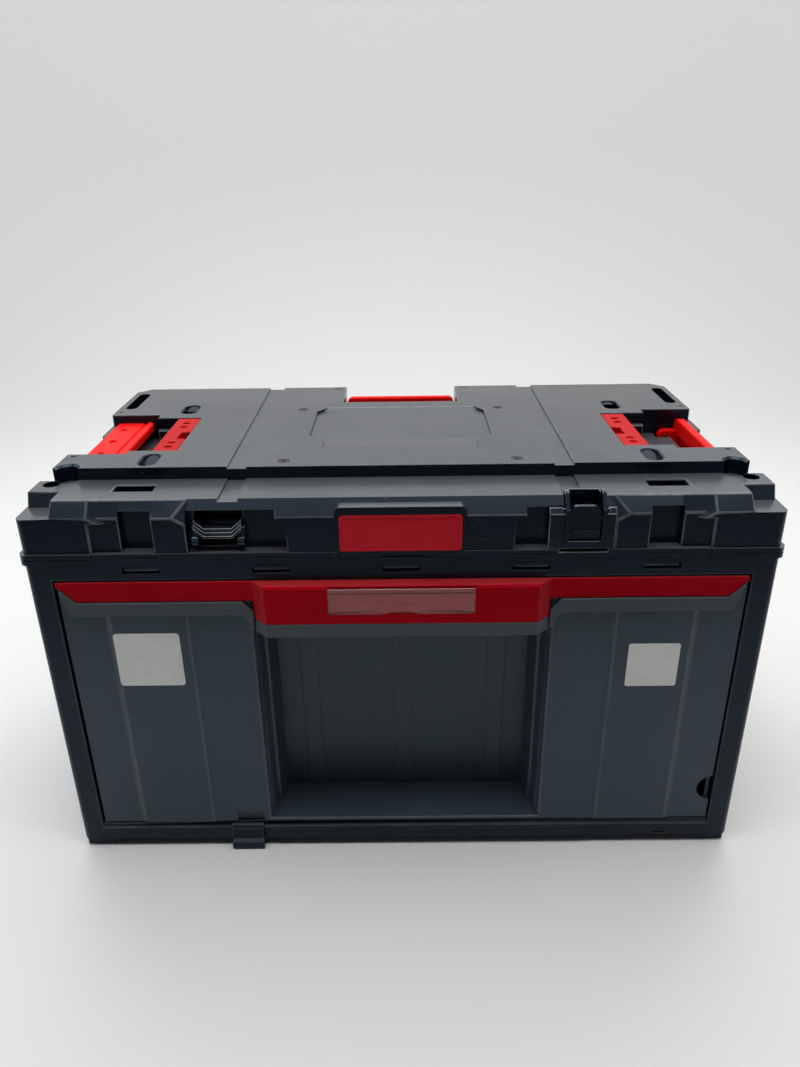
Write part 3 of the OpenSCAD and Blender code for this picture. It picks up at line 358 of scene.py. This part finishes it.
def metal(name, base, roughness):
    """Plated steel with a faint drawn grain."""
    material, tree, shader = principled(name)
    place = add(tree, "ShaderNodeTexCoord").outputs["Object"]
    stretched = add(tree, "ShaderNodeMapping", (("Vector", place), ("Scale", (900.0, 12.0, 900.0))))
    grain = noise(tree, stretched.outputs[0], 1.0, 2.0)
    drawn = ramp(tree, grain.outputs[0], 0.2, 0.8, roughness - 0.07, roughness + 0.1)
    tree.links.new(drawn, shader.inputs["Roughness"])
    cloud = noise(tree, place, 22.0, 4.0)
    darker = tuple(c * 0.78 for c in base) + (1.0,)
    tree.links.new(blend_colour(tree, (*base, 1.0), darker, ramp(tree, cloud.outputs[0], 0.35, 0.7)),
                   shader.inputs["Base Color"])
    shader.inputs["Metallic"].default_value = 1.0
    return material


def clear_plastic(name):
    """Clear window with fine haze and handling scratches."""
    material, tree, shader = principled(name)
    place = add(tree, "ShaderNodeTexCoord").outputs["Object"]
    haze = noise(tree, place, 70.0, 5.0, 0.7)
    tree.links.new(ramp(tree, haze.outputs[0], 0.3, 0.75, 0.05, 0.3), shader.inputs["Roughness"])
    marks = place_group(tree, "Handling marks", Roughness=0.1, Scratches=0.8)
    tone = blend_colour(tree, (1.0, 0.97, 0.97, 1.0), (0.8, 0.8, 0.8, 1.0), marks.outputs["Scuff"])
    tree.links.new(tone, shader.inputs["Base Color"])
    shader.inputs["Transmission Weight"].default_value = 1.0
    shader.inputs["IOR"].default_value = WINDOW_IOR
    return material


def paper(name, base, roughness=0.5):
    """Smooth printed film or card, left blank."""
    material, tree, shader = principled(name)
    place = add(tree, "ShaderNodeTexCoord").outputs["Object"]
    cloud = noise(tree, place, 35.0, 5.0, 0.6)
    darker = tuple(c * 0.9 for c in base) + (1.0,)
    tone = blend_colour(tree, (*base, 1.0), darker, ramp(tree, cloud.outputs[0], 0.4, 0.7))
    uneven = ramp(tree, cloud.outputs[0], 0.3, 0.7, roughness - 0.08, roughness + 0.1)
    tree.links.new(tone, shader.inputs["Base Color"])
    tree.links.new(uneven, shader.inputs["Roughness"])
    return material


def make_materials(colours):
    """One material for each slot of the record, and two more that some pieces of a slot take."""
    for make in (grain_group, handling_group, dust_and_sheen_group, edge_wear_and_highlight_group):
        make()
    black = tuple(colours.case_black)
    grey = tuple(colours.drawer_grey)
    # The tints of the gloss.
    cool_glint = (0.6, 0.8, 1.0)
    warm_glint = (1.0, 0.08, 0.2)
    satin = {"grain": (0.0006, 0.000006), "bump": 0.2, "coat": 0.03, "glint": warm_glint}
    matt_red = {"grain": (0.0008, 0.000015), "edge_wear_and_highlight": 0.05, "dust_and_sheen": 0.01, "glint": warm_glint}
    # The larger amounts on the roundings and level faces of the lid, case and latch paint highlights and
    # sheen, beside worn edges and a dusty film.
    return {
        "case_black": moulded(
            "Housing plastic", black, 0.32, dust_and_sheen=0.2, edge_wear_and_highlight=0.6, sheen=0.27, glint=cool_glint
        ),
        "lid_black": moulded(
            "Lid plastic", black, 0.22, dust_and_sheen=0.3, edge_wear_and_highlight=0.8, sheen=0.33, scuff_and_highlight_lift=0.15, glint=cool_glint
        ),
        "latch_black": moulded(
            "Latch plastic", black, 0.16, edge_wear_and_highlight=0.9, sheen=0.4, scuff_and_highlight_lift=0.33, glint=cool_glint
        ),
        "drawer_grey": moulded(
            "Drawer plastic", grey, 0.34, scratches=0.5, dust_and_sheen=0.05, edge_wear_and_highlight=0.6, sheen=0.4,
            glint=(0.75, 0.92, 1.0)
        ),
        "trim_grey": moulded("Trim plastic", tuple(colours.trim_grey), 0.34),
        "bracket_black": moulded("Bracket plastic", black, 0.5),
        "grip_red": moulded("Grip plastic", tuple(colours.grip_red), 0.26, edge_wear_and_highlight=0.05, sheen=0.15, **satin),
        "badge_red": moulded(
            "Badge plastic", tuple(colours.badge_red), 0.28, edge_wear_and_highlight=0.08, dust_and_sheen=0.03, sheen=0.3, **satin
        ),
        "handle_red": moulded("Handle plastic", tuple(colours.handle_red), 0.42, sheen=0.08, **matt_red),
        "slider_red": moulded("Slider plastic", tuple(colours.slider_red), 0.42, sheen=0.05, **matt_red),
        "window_clear": clear_plastic("Window plastic"),
        "card_paper": paper("Insert card", (0.34, 0.01, 0.016)),
        "label_white": paper("Sticker film", tuple(colours.sticker), 0.34),
        "steel_zinc": metal("Zinc-plated steel", (0.62, 0.63, 0.65), 0.34),
        "steel_balls": metal("Bearing steel", (0.72, 0.71, 0.68), 0.2),
        "screw_steel": metal("Screw steel", (0.035, 0.036, 0.039), 0.3),
        "pin_steel": metal("Pin steel", (0.6, 0.6, 0.62), 0.25),
    }


MATERIALS = {}


def set_material(piece, slot, finish=None):
    """Gives a piece the finish of its slot, or another finish of the same plastic."""
    piece.data.materials.clear()
    piece.data.materials.append(MATERIALS[finish or slot])


def finish_node(node):
    """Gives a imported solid, which keeps its own mesh, the finish of its slot."""
    piece = frame["nodes"][node]
    piece.data.materials.clear()
    piece.data.materials.append(MATERIALS[SLOT_OF[node]])


# ---- mesh helpers ----

MERGE = 0.004 * MM
FLAT_ANGLE = math.radians(1.2)

# A facet narrower than SLIVER is part of a rounding, and one wider than BROAD never is. Two facets of
# a rounding lie along parallel lines and turn by like angles.
SLIVER = 1.1 * MM
BROAD = 7.0 * MM
PARALLEL = 0.97
LEAST_TURN, MOST_TURN = 0.4, 2.5
SHALLOW_ANGLE = math.radians(4)
SLIVER_LIMIT = math.radians(62)

# Steeper edges are rounded, and shaded sharp.
SHARP_ANGLE = math.radians(28)
SMOOTH_LIMIT = math.radians(36)

# The shares of the radius that are tried in turn, and the room an edge needs in radii.
ROUNDING_SHARES = (1.0, 0.57)
ROOM = 2.3


def merged_copy(node):
    """The node's mesh with its corners merged and its flat faces joined."""
    mesh = bmesh.new()
    mesh.from_mesh(frame["nodes"][node].data)
    bmesh.ops.remove_doubles(mesh, verts=mesh.verts, dist=MERGE)
    bmesh.ops.dissolve_limit(
        mesh, angle_limit=FLAT_ANGLE, verts=mesh.verts, edges=mesh.edges, use_dissolve_boundaries=False
    )
    return mesh


def width_from(face, edge):
    """How far a face reaches from one of its edges, on average."""
    return face.calc_area() / max(edge.calc_length(), 1e-9)


def on_curve(edge):
    """Whether a facet beside this edge turns on the same way at its far side, as on a rounding."""
    turn = edge.calc_face_angle_signed(0)
    line = (edge.verts[1].co - edge.verts[0].co).normalized()
    for face in edge.link_faces:
        if width_from(face, edge) > BROAD:
            continue
        for other in face.edges:
            if other is edge or not other.is_manifold:
                continue
            far_turn = other.calc_face_angle_signed(0)
            far_line = (other.verts[1].co - other.verts[0].co).normalized()
            parallel = abs(line.dot(far_line)) > PARALLEL
            if parallel and LEAST_TURN < far_turn / turn < MOST_TURN:
                return True
    return False


def is_crease(edge, steep):
    """A steep edge, or a shallow one that isn't part of a rounding."""
    if not edge.is_manifold:
        return False
    turn = edge.calc_face_angle(0)
    widths = [width_from(face, edge) for face in edge.link_faces]
    if min(widths) < SLIVER:
        return turn > (SLIVER_LIMIT if max(widths) < SLIVER else steep)
    return turn > steep or (turn > SHALLOW_ANGLE and not on_curve(edge))


def edges_to_round(mesh, radius):
    """Outer edges with room for the rounding at both ends and on both faces."""
    room = ROOM * radius
    chosen = []
    for edge in mesh.edges:
        if edge.calc_length() < room or not is_crease(edge, SHARP_ANGLE):
            continue
        if edge.calc_face_angle_signed(0) <= 0:
            continue
        if all(other.calc_length() > room for end in edge.verts for other in end.link_edges):
            chosen.append(edge)
    return chosen


def round_edges(mesh, radius, segments=3, clamp=False):
    """Rounds the outer edges, those with less room by a smaller radius, and marks the new faces."""
    mark = mesh.faces.layers.float.new(ROUNDING)
    for share in ROUNDING_SHARES:
        edges = edges_to_round(mesh, share * radius)
        if not edges:
            continue
        made = bmesh.ops.bevel(
            mesh, geom=edges, offset=share * radius, offset_type="OFFSET", segments=segments, profile=0.5,
            affect="EDGES", clamp_overlap=clamp, material=-1, loop_slide=True
        )
        for face in made["faces"]:
            face[mark] = 1.0


def add_piece(mesh, name, slot, body, replaced):
    """Turns a bmesh into a finished piece that rides on its body and replaces its solids."""
    for face in mesh.faces:
        face.smooth = True
    for edge in mesh.edges:
        edge.smooth = not is_crease(edge, SMOOTH_LIMIT)
    data = bpy.data.meshes.new(name)
    mesh.to_mesh(data)
    mesh.free()
    piece = bpy.data.objects.new(name, data)
    bpy.context.scene.collection.objects.link(piece)
    set_material(piece, slot)
    shading = piece.modifiers.new("Even shading", "WEIGHTED_NORMAL")
    shading.keep_sharp = True
    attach(piece, body)
    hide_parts(*replaced)
    return piece


def dress(node, radius, segments=3, clamp=False):
    """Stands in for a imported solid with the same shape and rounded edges."""
    mesh = merged_copy(node)
    round_edges(mesh, radius, segments, clamp)
    return add_piece(mesh, node + "_dressed", SLOT_OF[node], BODY_OF[node], (node,))


def flat_outline(mesh, points, place):
    """A face through the (x, z) points, in millimetres, facing the front at the given place."""
    corners = [mesh.verts.new((x * MM, place, z * MM)) for x, z in points]
    face = mesh.faces.new(corners)
    face.normal_update()
    if face.normal.y > 0:
        face.normal_flip()
    return face


def thicken_back(mesh, face, back):
    """Gives a front face walls and a back at the given place."""
    grown = bmesh.ops.extrude_face_region(mesh, geom=[face], use_keep_orig=True)["geom"]
    rear = [item for item in grown if isinstance(item, bmesh.types.BMVert)]
    for corner in rear:
        corner.co.y = back
    bmesh.ops.recalc_face_normals(mesh, faces=mesh.faces)


def rounded_corners(corners, radius, steps=4):
    """The (x, z) outline with each corner rounded, on its own side of the outline."""
    points = []
    count = len(corners)
    for i in range(count):
        here = Vector(corners[i])
        before = Vector(corners[i - 1]) - here
        after = Vector(corners[(i + 1) % count]) - here
        reach = min(radius, before.length * 0.45, after.length * 0.45)
        start, end = here + before.normalized() * reach, here + after.normalized() * reach
        for k in range(steps + 1):
            t = k / steps
            points.append(tuple(start * (1 - t) ** 2 + here * 2 * t * (1 - t) + end * t ** 2))
    return points


# ---- operators: one for each piece or group of pieces ----

class TOOLBOX_OT_materials(bpy.types.Operator):
    """Make every finish of the tool box"""

    bl_idname = "toolbox.materials"
    bl_label = "Materials"

    def execute(self, context):
        MATERIALS.update(make_materials(context.scene.tool_box_colours))
        for node in frame["nodes"]:
            finish_node(node)
        return {"FINISHED"}


class TOOLBOX_OT_case(bpy.types.Operator):
    """Case shell and its stacking hook"""

    bl_idname = "toolbox.case"
    bl_label = "Housing"

    def execute(self, context):
        edge = context.scene.tool_box_edges
        dress("cabinet", edge.case_edge)
        dress("stack_hook", edge.trim_edge)
        return {"FINISHED"}


class TOOLBOX_OT_lid(bpy.types.Operator):
    """Lid with its deck and front blocks, and the left catch"""

    bl_idname = "toolbox.lid"
    bl_label = "Lid"

    def execute(self, context):
        edge = context.scene.tool_box_edges
        dress("lid", edge.lid_edge)
        set_material(dress("left_catch", edge.trim_edge), SLOT_OF["left_catch"], "latch_black")
        return {"FINISHED"}


class TOOLBOX_OT_badge(bpy.types.Operator):
    """Bare badge plate"""

    bl_idname = "toolbox.badge"
    bl_label = "Badge"

    def execute(self, context):
        dress("badge_plate", context.scene.tool_box_edges.trim_edge)
        return {"FINISHED"}


class TOOLBOX_OT_latch(bpy.types.Operator):
    """Latch housing and flap"""

    bl_idname = "toolbox.latch"
    bl_label = "Latch"

    def execute(self, context):
        edge = context.scene.tool_box_edges
        for node in ("latch_housing", "latch_flap"):
            set_material(dress(node, edge.trim_edge), SLOT_OF[node], "latch_black")
        return {"FINISHED"}


class TOOLBOX_OT_handles(bpy.types.Operator):
    """Three carrying handles and the two sliders"""

    bl_idname = "toolbox.handles"
    bl_label = "Handles and sliders"

    def execute(self, context):
        edge = context.scene.tool_box_edges
        for side in ("left", "right", "rear"):
            dress(side + "_handle", edge.handle_edge)
        for side in ("left", "right"):
            slider = dress(side + "_slider", edge.trim_edge, clamp=True)
            set_material(slider, SLOT_OF[side + "_slider"], "slider_red")
        return {"FINISHED"}


class TOOLBOX_OT_drawer(bpy.types.Operator):
    """Drawer front and tray"""

    bl_idname = "toolbox.drawer"
    bl_label = "Drawer"

    def execute(self, context):
        edge = context.scene.tool_box_edges
        dress("drawer_front", edge.drawer_edge)
        dress("drawer_tray", edge.trim_edge)
        return {"FINISHED"}


class TOOLBOX_OT_grip(bpy.types.Operator):
    """Grip bar, its lip and the label window"""

    bl_idname = "toolbox.grip"
    bl_label = "Grip bar"

    def execute(self, context):
        edge = context.scene.tool_box_edges
        dress("grip_bar", edge.grip_edge, 4)
        dress("grip_trim", edge.trim_edge)
        self.window()
        return {"FINISHED"}

    def window(self):
        """Clear pane with a rim, a sloping upper band and a thumb notch at the bottom."""
        low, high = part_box("label_window")
        left, right = low[0] / MM, high[0] / MM
        bottom, top = low[2] / MM, high[2] / MM
        corner_radius, notch_half, notch_foot, notch_top = 1.2, 9.0, 10.5, bottom + 2.4
        chamfer, chamfer_width, rim, step = 0.15 * MM, 0.18 * MM, 0.9 * MM, 0.3 * MM
        upper_part, band = 6 * MM, 2.6 * MM
        outline = [
            (left, top), (left, bottom), (-notch_foot, bottom), (-notch_half, notch_top),
            (notch_half, notch_top), (notch_foot, bottom), (right, bottom), (right, top),
        ]
        mesh = bmesh.new()
        face = flat_outline(mesh, rounded_corners(outline, corner_radius), low[1] + chamfer)
        thicken_back(mesh, face, high[1])
        bmesh.ops.inset_region(mesh, faces=[face], thickness=chamfer_width, depth=chamfer)
        bmesh.ops.inset_region(mesh, faces=[face], thickness=rim, depth=0.0)
        bmesh.ops.inset_region(mesh, faces=[face], thickness=step, depth=-step)
        for corner in face.verts:
            if corner.co.z > high[2] - upper_part:
                corner.co.z -= band
        add_piece(
            mesh, "label_window_pane", SLOT_OF["label_window"], BODY_OF["label_window"], ("label_window",)
        )


# ---- studio ----

PALE = (1.0, 1.0, 0.995, 1.0)
# Painted shade of the floor in front of the object.
PAINTED_SHADE_GREY = (0.22, 0.222, 0.225, 1.0)

# The floor darkens to a painted shade between these places in front of the object, and is evenly pale
# between these distances from it.
FRONT_PALE, FRONT_SHADED = -0.45, -0.85
LIT_REACH, FAR_REACH = 0.9, 2.1


def studio_object(name, mesh, material):
    """Turns a bmesh into a piece of the studio."""
    data = bpy.data.meshes.new(name)
    mesh.to_mesh(data)
    mesh.free()
    item = bpy.data.objects.new(name, data)
    bpy.context.scene.collection.objects.link(item)
    data.materials.append(material)


def seen_rays(tree):
    """1 for what the camera, the gloss and the glass see, 0 for the light that falls on the object."""
    rays = add(tree, "ShaderNodeLightPath")
    either = math_node(tree, "MAXIMUM", rays.outputs["Is Camera Ray"], rays.outputs["Is Glossy Ray"])
    return math_node(tree, "MAXIMUM", either, rays.outputs["Is Transmission Ray"])


def floor_material(base, backdrop_light):
    """Pale matt paper of the sweep: evenly pale far away, and darkened to a painted shade in front of the
    camera's view.
    """
    material, tree, shader = principled("Studio sweep")
    place = add(tree, "ShaderNodeTexCoord").outputs["Object"]
    cloud = noise(tree, place, 1.4, 3.0)
    darker = tuple(c * 0.97 for c in base) + (1.0,)
    paper_tone = blend_colour(tree, (*base, 1.0), darker, cloud.outputs[0])
    along = add(tree, "ShaderNodeSeparateXYZ", ((0, place),)).outputs["Y"]
    # Painted shade: the floor's colour and its glow turn grey in front of the object.
    shade = ramp(tree, along, FRONT_PALE, FRONT_SHADED)
    tree.links.new(blend_colour(tree, paper_tone, PAINTED_SHADE_GREY, shade), shader.inputs["Base Color"])
    shader.inputs["Roughness"].default_value = 0.55
    away = add(tree, "ShaderNodeVectorMath", ((0, place),), operation="LENGTH").outputs["Value"]
    far = product(tree, ramp(tree, away, LIT_REACH, FAR_REACH), seen_rays(tree))
    glow_tone = blend_colour(tree, PALE, PAINTED_SHADE_GREY, shade)
    glow = add(tree, "ShaderNodeEmission", (("Color", glow_tone), ("Strength", backdrop_light)))
    mixed = add(tree, "ShaderNodeMixShader", ((0, far), (1, shader.outputs[0]), (2, glow.outputs[0])))
    tree.links.new(mixed.outputs[0], tree.nodes["Material Output"].inputs[0])
    return material


def area_lamp(name, place, target, size, power, tint=(1.0, 1.0, 1.0)):
    """A lamp at a place, turned to a target, with its width and height in metres."""
    lamp = bpy.data.lights.new(name, "AREA")
    lamp.shape = "RECTANGLE"
    lamp.size, lamp.size_y = size
    lamp.energy = power
    lamp.color = tint
    item = bpy.data.objects.new(name, lamp)
    item.location = place
    item.rotation_euler = (Vector(target) - Vector(place)).to_track_quat("-Z", "Y").to_euler()
    bpy.context.scene.collection.objects.link(item)


class TOOLBOX_OT_studio(bpy.types.Operator):
    """Floor, backdrop, lamps and camera"""

    bl_idname = "toolbox.studio"
    bl_label = "Studio"

    def execute(self, context):
        studio = context.scene.tool_box_studio
        self.sweep(studio)
        self.lamps(studio)
        self.camera(context.scene, studio)
        self.world(context.scene, studio)
        context.scene.view_settings.view_transform = "Standard"
        return {"FINISHED"}

    def sweep(self, studio):
        """A floor that curves up into the backdrop."""
        mesh = bmesh.new()
        width, front, bend, radius, height = 12.0, -5.0, 1.0, 0.6, 3.4
        steps = 16
        outline = [(front, 0.0)]
        for i in range(steps + 1):
            turn = math.pi / 2 * i / steps
            outline.append((bend + radius * math.sin(turn), radius * (1 - math.cos(turn))))
        outline.append((bend + radius, height))
        row = [mesh.verts.new((-width / 2, y, z)) for y, z in outline]
        edges = [mesh.edges.new(pair) for pair in zip(row, row[1:])]
        grown = bmesh.ops.extrude_edge_only(mesh, edges=edges)["geom"]
        moved = [item for item in grown if isinstance(item, bmesh.types.BMVert)]
        bmesh.ops.translate(mesh, verts=moved, vec=(width, 0, 0))
        for face in mesh.faces:
            face.smooth = True
        bmesh.ops.recalc_face_normals(mesh, faces=mesh.faces)
        studio_object("studio_sweep", mesh, floor_material(tuple(studio.floor_colour), studio.backdrop_light))

    def lamps(self, studio):
        cool, warm = (0.82, 0.90, 1.0), (1.0, 0.93, 0.74)
        area_lamp("Top lamp", (0.0, 0.25, 2.1), (0.0, 0.1, 0.0), (2.6, 1.6), studio.top_power)
        area_lamp("Back lamp", (0.0, 1.17, 1.52), (0.0, 0.0, 0.35), (3.0, 1.1), studio.back_power)
        area_lamp("Front lamp", (0.0, -0.55, 1.9), (0.0, -0.42, 0.0), (1.9, 0.4), studio.front_power)
        area_lamp("Side lamp", (-1.7, -0.1, 1.2), (0.0, 0.1, 0.1), (1.0, 1.0), studio.side_power, cool)
        area_lamp("Fill lamp", (1.8, -0.1, 1.0), (0.1, 0.1, 0.1), (0.9, 0.9), studio.fill_power, warm)

    def camera(self, scene, studio):
        turn = Matrix.Rotation(-studio.camera_turn, 4, "Z")
        tilt = Matrix.Rotation(math.pi / 2 - studio.camera_tilt, 4, "X")
        roll = Matrix.Rotation(studio.camera_roll, 4, "Z")
        camera = bpy.data.cameras.new("Camera")
        camera.lens = studio.lens
        camera.sensor_width = 36.0
        item = bpy.data.objects.new("Camera", camera)
        item.matrix_world = Matrix.Translation(studio.camera_place) @ turn @ tilt @ roll
        scene.collection.objects.link(item)
        scene.camera = item

    def world(self, scene, studio):
        """A dim room for the light, and a pale one for what is seen."""
        world = bpy.data.worlds.new("Room")
        world.use_nodes = True
        tree = world.node_tree
        tree.nodes.clear()
        dusk = (0.86, 0.88, 0.92, 1.0)
        dim = add(tree, "ShaderNodeBackground", (("Color", dusk), ("Strength", studio.room_light)))
        pale = add(tree, "ShaderNodeBackground", (("Color", PALE), ("Strength", studio.backdrop_light)))
        shares = ((0, seen_rays(tree)), (1, dim.outputs[0]), (2, pale.outputs[0]))
        mixed = add(tree, "ShaderNodeMixShader", shares)
        add(tree, "ShaderNodeOutputWorld", ((0, mixed.outputs[0]),))
        scene.world = world


class TOOLBOX_PT_panel(bpy.types.Panel):
    """Lists the builders in the sidebar"""

    bl_idname = "TOOLBOX_PT_panel"
    bl_label = "Tool Box"
    bl_space_type = "VIEW_3D"
    bl_region_type = "UI"
    bl_category = "Tool Box"

    def draw(self, context):
        for builder in BUILDERS:
            self.layout.operator(builder.bl_idname)


BUILDERS = (
    TOOLBOX_OT_materials,
    TOOLBOX_OT_case,
    TOOLBOX_OT_lid,
    TOOLBOX_OT_badge,
    TOOLBOX_OT_latch,
    TOOLBOX_OT_handles,
    TOOLBOX_OT_drawer,
    TOOLBOX_OT_grip,
    TOOLBOX_OT_studio,
)
SETTINGS = {
    "tool_box_colours": ToolBoxColours,
    "tool_box_edges": ToolBoxEdges,
    "tool_box_studio": ToolBoxStudio,
}


def register():
    for name, group in SETTINGS.items():
        bpy.utils.register_class(group)
        setattr(bpy.types.Scene, name, PointerProperty(type=group))
    for item in (*BUILDERS, TOOLBOX_PT_panel):
        bpy.utils.register_class(item)


def unregister():
    for item in reversed((*BUILDERS, TOOLBOX_PT_panel)):
        bpy.utils.unregister_class(item)
    for name, group in SETTINGS.items():
        delattr(bpy.types.Scene, name)
        bpy.utils.unregister_class(group)


def main():
    register()
    for builder in BUILDERS:
        getattr(bpy.ops.toolbox, builder.bl_idname.split(".")[1])()


if __name__ == "__main__":
    main()
